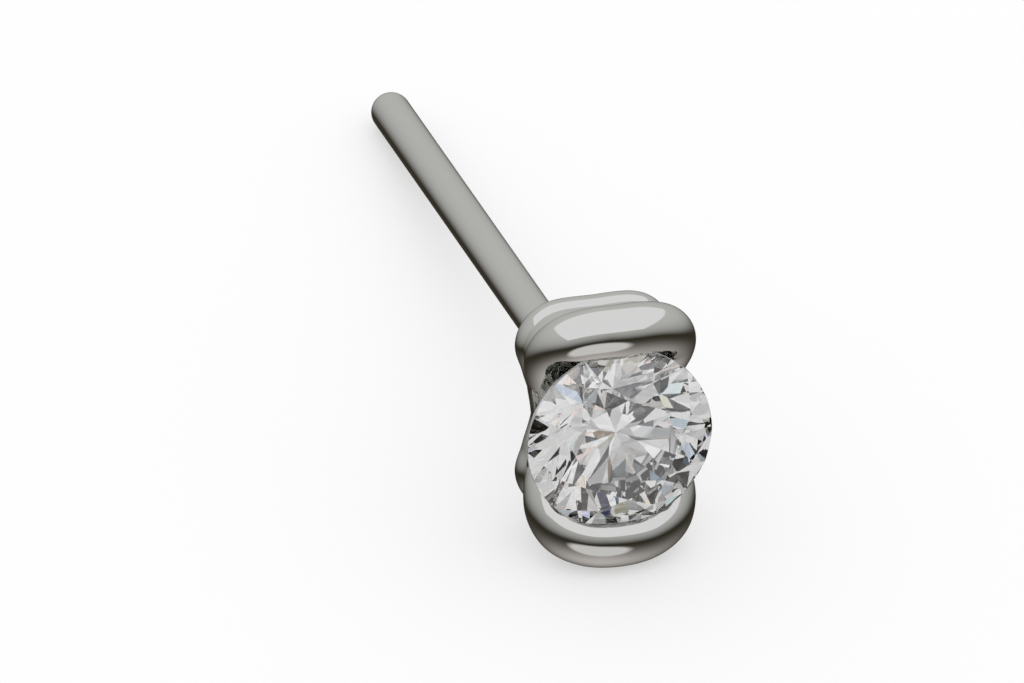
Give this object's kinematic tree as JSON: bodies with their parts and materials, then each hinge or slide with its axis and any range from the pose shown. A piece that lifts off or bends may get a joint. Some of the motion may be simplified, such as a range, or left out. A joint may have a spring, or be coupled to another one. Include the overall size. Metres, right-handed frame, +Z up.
{
  "type": "stud earring",
  "caption": "Stud earring with a round cut stone held above and below by polished horn-shaped lobes on a straight post.",
  "frame": {"origin": "middle of the bounding box's footprint, on the surface that the stud rests on", "axes": "+Z up from that surface; -Y the way the stone faces; the post runs back along +Y, 8.7 degrees tip down"},
  "size_m": [0.003, 0.0134, 0.0044],
  "materials": {
    "polished_metal": "mirror polished",
    "clear_stone": "faceted and polished"
  },
  "bodies": {
    "root": {"setting_and_post": "polished_metal", "round_stone": "clear_stone"}
  },
  "joints": []
}
